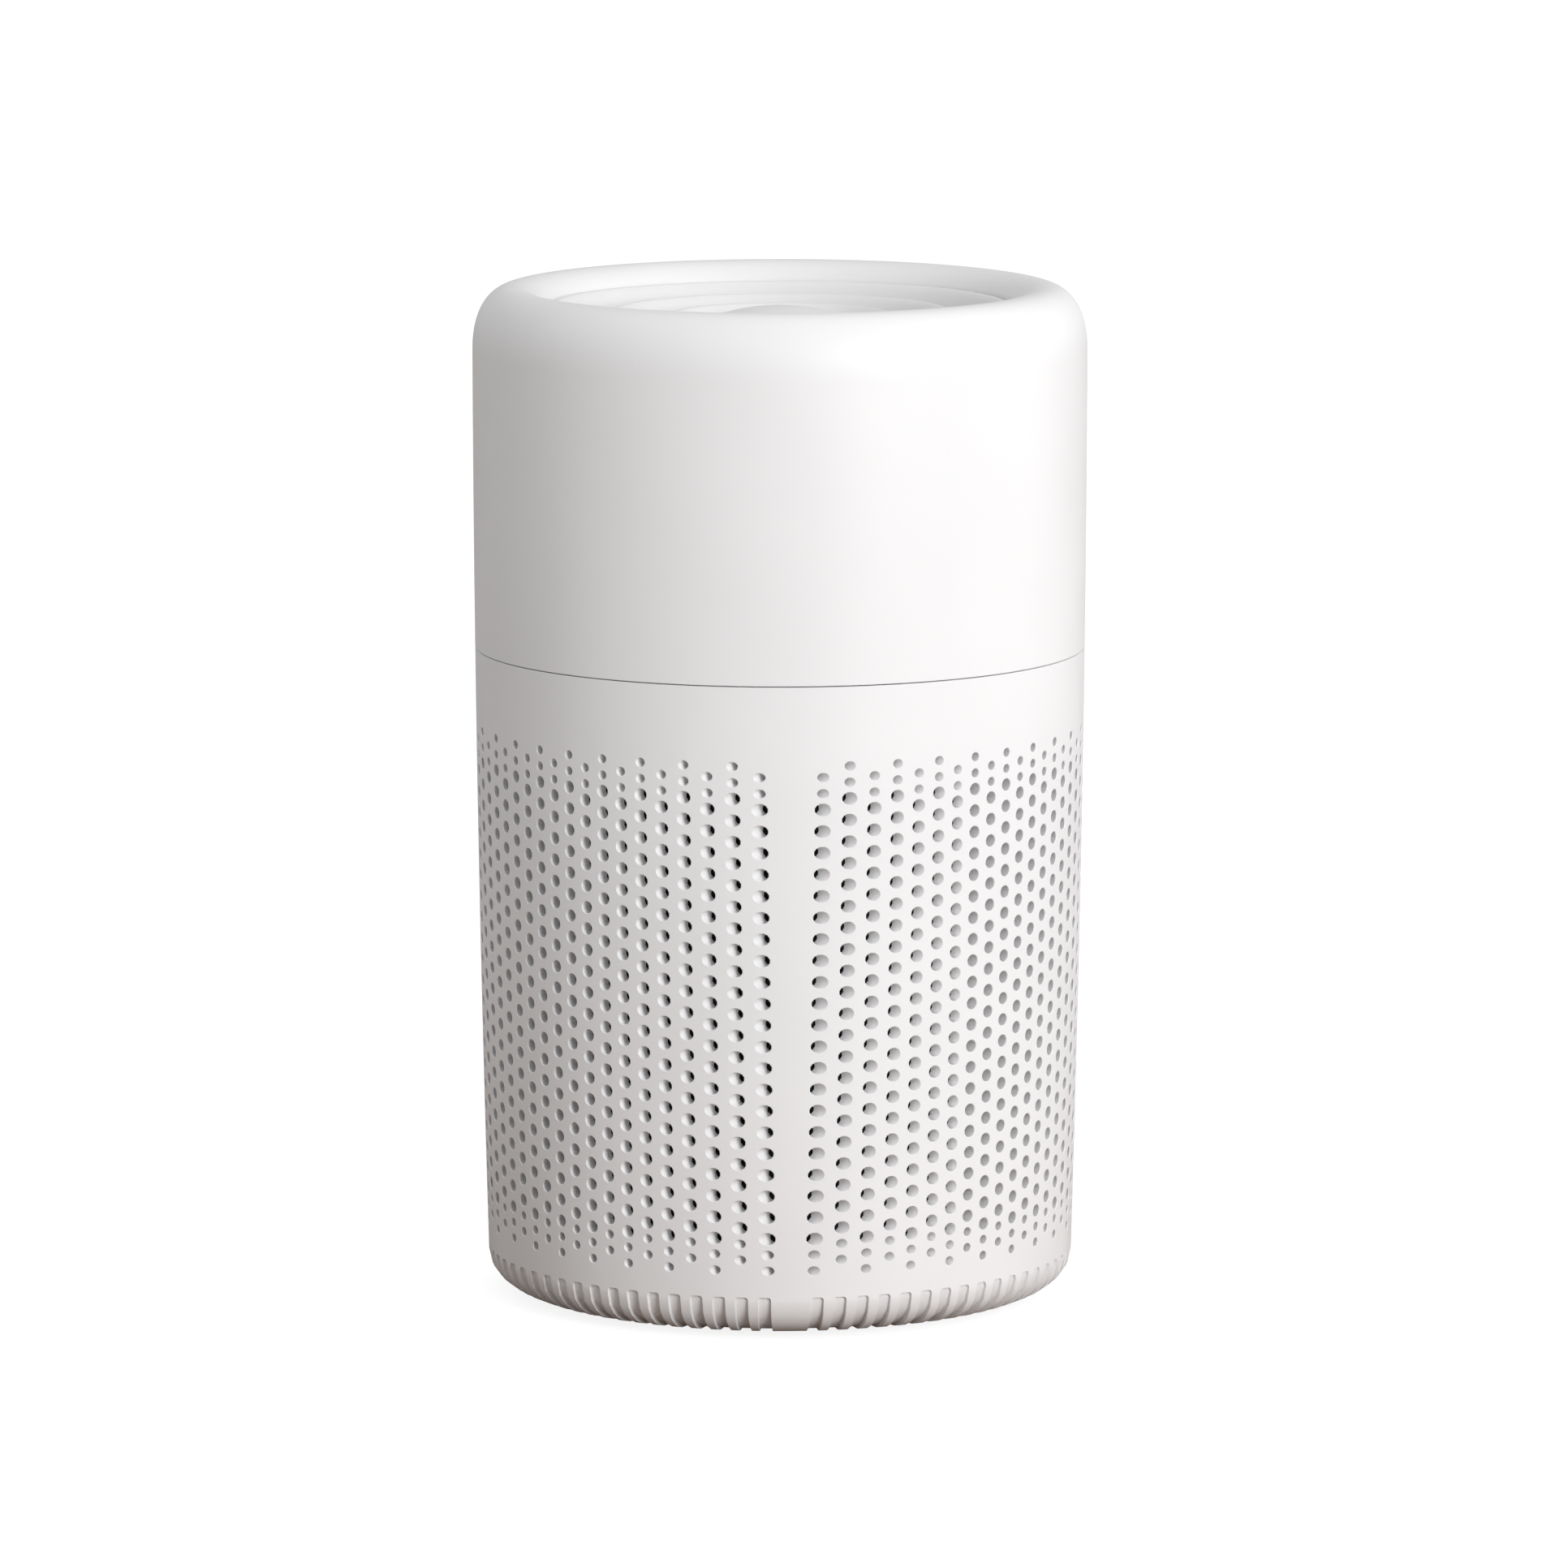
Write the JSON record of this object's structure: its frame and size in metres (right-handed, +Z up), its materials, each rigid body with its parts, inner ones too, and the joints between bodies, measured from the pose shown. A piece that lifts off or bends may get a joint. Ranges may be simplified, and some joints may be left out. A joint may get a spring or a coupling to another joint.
{
  "type": "air purifier",
  "caption": "White cylindrical desktop air purifier with a lift-off fan unit, cone-shaped outlet louvres, domed power button and a drop-in filter cartridge.",
  "frame": {"origin": "middle of the circle the four feet stand on, at the level of their undersides", "axes": "+Z up along the cylinder's axis; the front plain strip faces -Y and the power inlet faces +Y"},
  "size_m": [0.155, 0.155, 0.2562],
  "materials": {
    "housing": "satin white moulded plastic",
    "grille": "satin white moulded plastic",
    "button": "satin white moulded plastic",
    "deck_plastic": "plain grey moulded plastic",
    "filter_cap": "plain grey moulded plastic",
    "filter_core": "plain white moulded plastic",
    "fan_plastic": "dark glass-filled plastic",
    "black_plastic": "black moulded plastic",
    "circuit_board": "green solder mask",
    "foot_rubber": "dark rubber",
    "foam": "closed-cell foam",
    "lead_jacket": "soft cable jacket",
    "filter_paper": "pleated glass-fibre paper",
    "carbon": "carbon-loaded felt",
    "prefilter": "woven nylon mesh",
    "webbing": "woven webbing",
    "magnet": "nickel-plated magnet",
    "screw_steel": "zinc-plated steel",
    "spring_steel": "drawn spring wire",
    "motor_steel": "pressed and ground steel",
    "winding": "enamelled copper over laminations"
  },
  "bodies": {
    "base": {"lower_housing": "housing", "foot_1": "foot_rubber", "foot_2": "foot_rubber", "foot_3": "foot_rubber", "foot_4": "foot_rubber"},
    "filter": {"filter_bottom_cap": "filter_cap", "filter_top_ring": "filter_cap", "filter_core": "filter_core", "hepa_media": "filter_paper", "carbon_sleeve": "carbon", "prefilter_mesh": "prefilter", "filter_gasket": "foam", "pull_strap": "webbing", "interlock_magnet": "magnet"},
    "upper_unit": {"upper_housing": "housing", "outlet_grille": "grille", "grille_screw_1": "screw_steel", "grille_screw_2": "screw_steel", "grille_screw_3": "screw_steel", "button_spring": "spring_steel", "control_board": "circuit_board", "board_screw_1": "screw_steel", "board_screw_2": "screw_steel", "tact_switch": "black_plastic", "fan_deck": "deck_plastic", "deck_screw_1": "screw_steel", "deck_screw_2": "screw_steel", "deck_screw_3": "screw_steel", "deck_screw_4": "screw_steel", "inlet_guard": "black_plastic", "stator": "winding", "bearing_lower": "motor_steel", "bearing_upper": "motor_steel", "motor_mount": "deck_plastic", "isolator_1": "foot_rubber", "isolator_2": "foot_rubber", "isolator_3": "foot_rubber", "isolator_4": "foot_rubber", "mount_screw_1": "screw_steel", "mount_screw_2": "screw_steel", "mount_screw_3": "screw_steel", "mount_screw_4": "screw_steel", "driver_board": "circuit_board", "driver_screw_1": "screw_steel", "driver_screw_2": "screw_steel", "dc_inlet": "black_plastic", "reed_switch": "black_plastic", "control_lead": "lead_jacket", "motor_lead": "lead_jacket"},
    "fan": {"impeller": "fan_plastic", "rotor_can": "motor_steel", "rotor_magnet": "magnet", "motor_shaft": "motor_steel", "shaft_nut": "screw_steel"},
    "button": {"button_cap": "button"}
  },
  "joints": [
    {"name": "filter_lift", "type": "slide", "parent": "base", "child": "filter", "axis": [0, 0, 1], "range_m": [0, 0.16]},
    {"name": "upper_lift", "type": "slide", "parent": "filter", "child": "upper_unit", "axis": [0, 0, 1], "range_m": [0, 0.1]},
    {"name": "fan_spin", "type": "hinge", "parent": "upper_unit", "child": "fan", "pos_m": [0, 0, 0.19], "axis": [0, 0, 1], "continuous": true},
    {"name": "button_press", "type": "slide", "parent": "upper_unit", "child": "button", "axis": [0, 0, -1], "range_m": [0, 0.0014], "stiffness_N_per_m": 600, "springref_m": -0.003, "deforming": ["button_spring"]}
  ]
}
